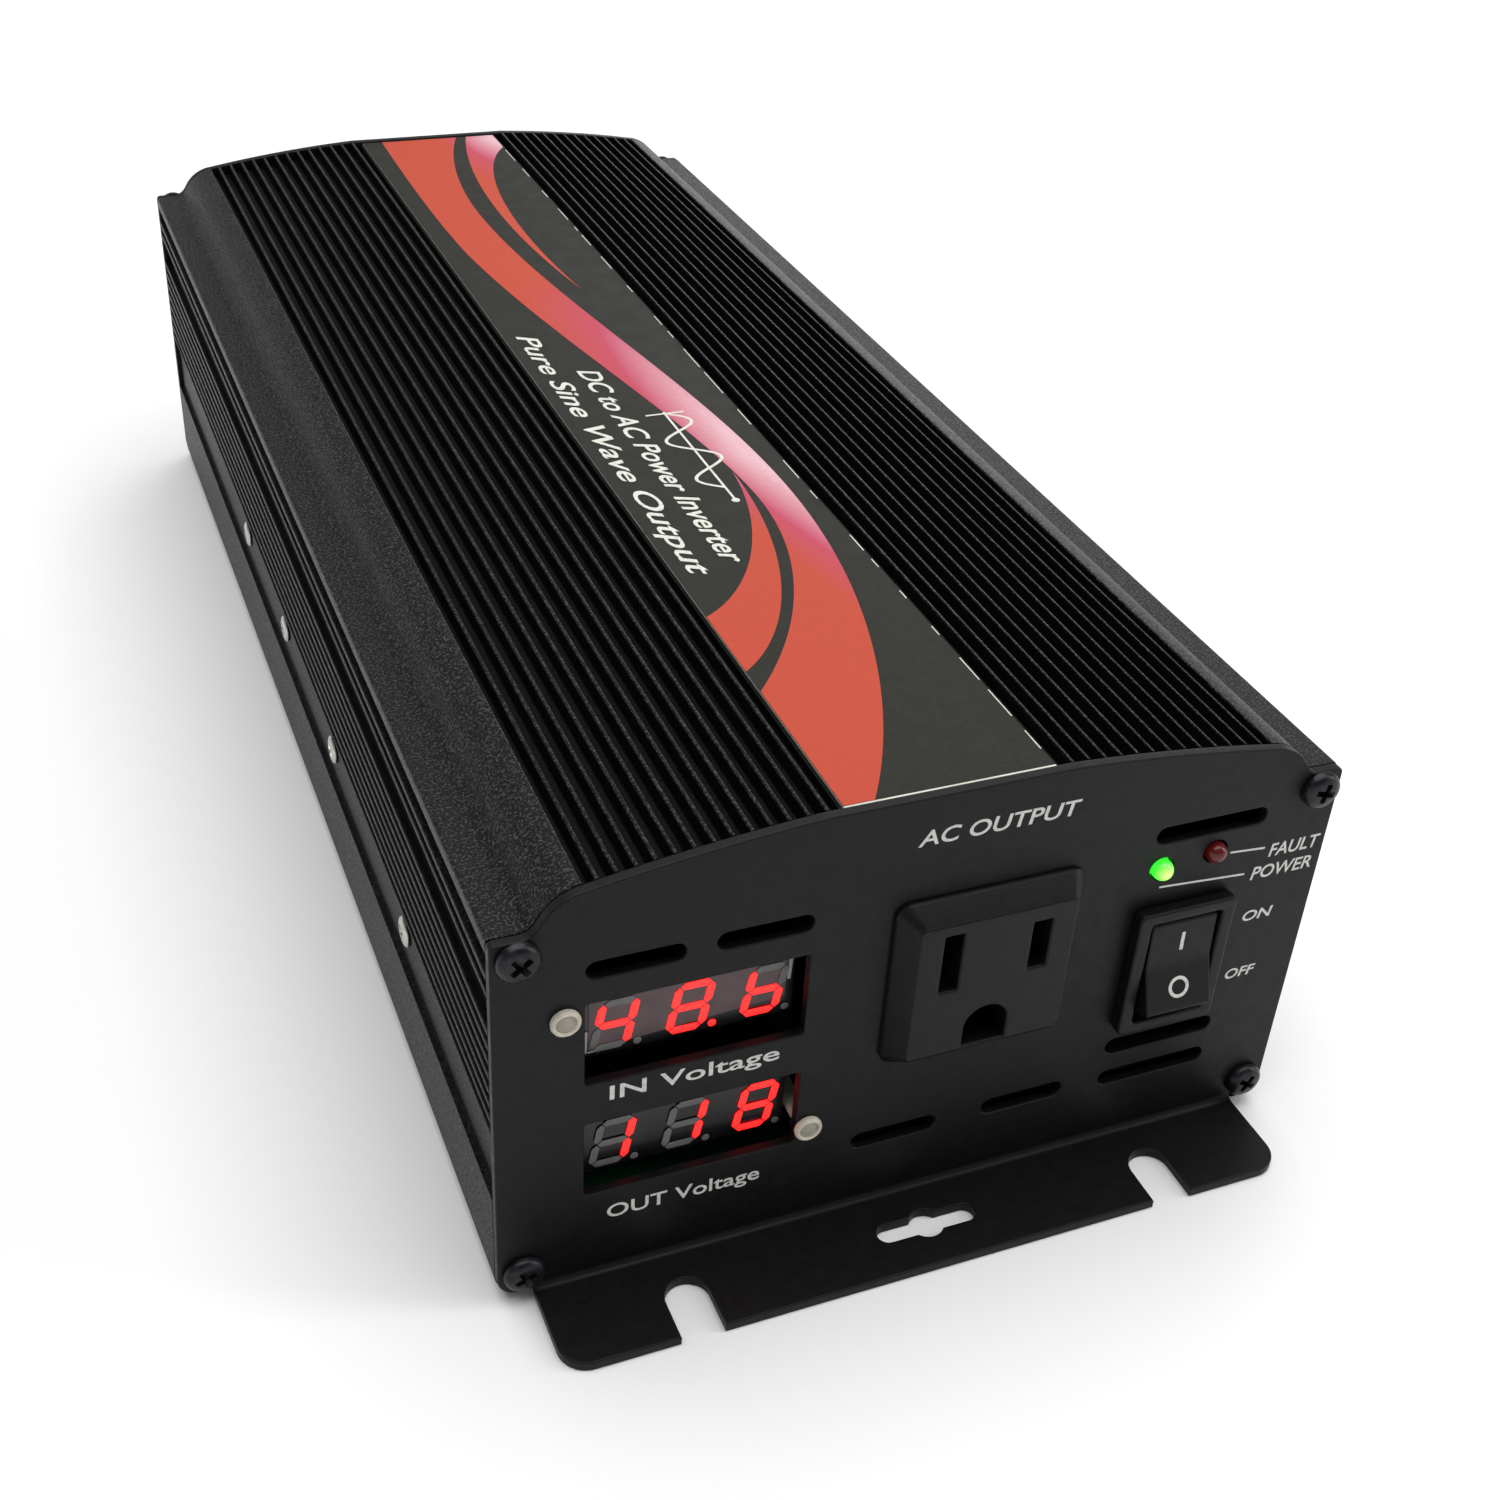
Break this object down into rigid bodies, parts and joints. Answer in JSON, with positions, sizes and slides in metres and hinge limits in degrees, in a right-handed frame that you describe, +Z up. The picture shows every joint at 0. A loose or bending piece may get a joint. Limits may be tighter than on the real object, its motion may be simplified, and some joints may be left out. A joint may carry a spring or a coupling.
{
  "type": "power inverter",
  "caption": "DC to AC power inverter in a finned aluminium housing with sheet-metal end plates, mounting flanges, an AC outlet, a rocker switch, digital voltmeters and a rear fan.",
  "frame": {"origin": "centre of the bounding box, on the surface that the mounting flanges stand on", "axes": "+Z up, +Y from the front plate (outlet, switch, meters) to the rear plate (fan, DC terminals), +X to the right seen from the front"},
  "size_m": [0.117, 0.297, 0.0694],
  "materials": {
    "housing": "black anodised, fine extrusion lines",
    "end_plates": "satin black powder coat",
    "label": "printed film, satin, charcoal with a red and pink band",
    "black_screws": "black zinc",
    "steel_screws": "bright zinc",
    "bare_aluminium": "mill finish",
    "outlet": "moulded thermoplastic, satin",
    "switch": "moulded nylon, satin",
    "contacts": "stamped and turned brass",
    "display": "seven-segment display face, lit segments red",
    "boards": "green solder mask",
    "rivets": "natural nylon",
    "green_led": "lit green lens",
    "red_led": "unlit red lens",
    "fan": "moulded glass-filled plastic",
    "red_terminal": "moulded, glossy",
    "black_terminal": "moulded, glossy",
    "ferrite": "sintered ferrite, matt",
    "coil_tape": "polyester winding tape",
    "capacitor_sleeve": "heat-shrink sleeve",
    "copper_wire": "enamelled copper wire"
  },
  "bodies": {
    "housing": {"upper_shell": "housing", "lower_shell": "housing", "top_label": "label", "front_plate": "end_plates", "rear_plate": "end_plates", "front_screw_1": "black_screws", "front_screw_2": "black_screws", "front_screw_3": "black_screws", "front_screw_4": "black_screws", "rear_screw_1": "black_screws", "rear_screw_2": "black_screws", "rear_screw_3": "black_screws", "rear_screw_4": "black_screws", "left_clamp_screw_1": "steel_screws", "left_clamp_screw_2": "steel_screws", "left_clamp_screw_3": "steel_screws", "left_clamp_screw_4": "steel_screws", "right_clamp_screw_1": "steel_screws", "right_clamp_screw_2": "steel_screws", "right_clamp_screw_3": "steel_screws", "right_clamp_screw_4": "steel_screws", "left_clamp_bar": "bare_aluminium", "right_clamp_bar": "bare_aluminium", "outlet_body": "outlet", "outlet_contact_line": "contacts", "outlet_contact_neutral": "contacts", "outlet_contact_ground": "contacts", "switch_housing": "switch", "input_display": "display", "output_display": "display", "display_board": "boards", "display_rivet_1": "rivets", "display_rivet_2": "rivets", "power_led": "green_led", "fault_led": "red_led", "fan_frame": "fan", "fan_screw_1": "black_screws", "fan_screw_2": "black_screws", "fan_screw_3": "black_screws", "fan_screw_4": "black_screws", "positive_terminal_base": "red_terminal", "positive_terminal_stud": "contacts", "negative_terminal_base": "black_terminal", "negative_terminal_stud": "contacts", "earth_screw": "steel_screws", "main_board": "boards", "transformer_1_core": "ferrite", "transformer_1_coil": "coil_tape", "transformer_2_core": "ferrite", "transformer_2_coil": "coil_tape", "bus_capacitor": "capacitor_sleeve", "input_capacitor_1": "capacitor_sleeve", "input_capacitor_2": "capacitor_sleeve", "filter_choke": "copper_wire"},
    "rocker": {"switch_rocker": "switch"},
    "fan": {"fan_rotor": "fan"},
    "positive_washer": {"positive_terminal_washer": "steel_screws"},
    "positive_knob": {"positive_terminal_knob": "red_terminal"},
    "negative_washer": {"negative_terminal_washer": "steel_screws"},
    "negative_knob": {"negative_terminal_knob": "black_terminal"}
  },
  "joints": [
    {"name": "rocker_tilt", "type": "hinge", "parent": "housing", "child": "rocker", "pos_m": [0.0369, -0.1315, 0.0332], "axis": [1, 0, 0], "range_deg": [0, 22]},
    {"name": "fan_spin", "type": "hinge", "parent": "housing", "child": "fan", "pos_m": [-0.026, 0.1139, 0.0333], "axis": [0, 1, 0], "continuous": true},
    {"name": "positive_washer_slide", "type": "slide", "parent": "housing", "child": "positive_washer", "axis": [0, 1, 0], "range_m": [0, 0.004]},
    {"name": "positive_knob_turn", "type": "hinge", "parent": "positive_washer", "child": "positive_knob", "pos_m": [0.018, 0.135, 0.024], "axis": [0, 1, 0], "range_deg": [0, 1440]},
    {"name": "negative_washer_slide", "type": "slide", "parent": "housing", "child": "negative_washer", "axis": [0, 1, 0], "range_m": [0, 0.004]},
    {"name": "negative_knob_turn", "type": "hinge", "parent": "negative_washer", "child": "negative_knob", "pos_m": [0.043, 0.135, 0.024], "axis": [0, 1, 0], "range_deg": [0, 1440]}
  ],
  "couplings": [
    {"joint": "positive_washer_slide", "follows": "positive_knob_turn", "m_per_rad": 0.000159},
    {"joint": "negative_washer_slide", "follows": "negative_knob_turn", "m_per_rad": 0.000159}
  ]
}
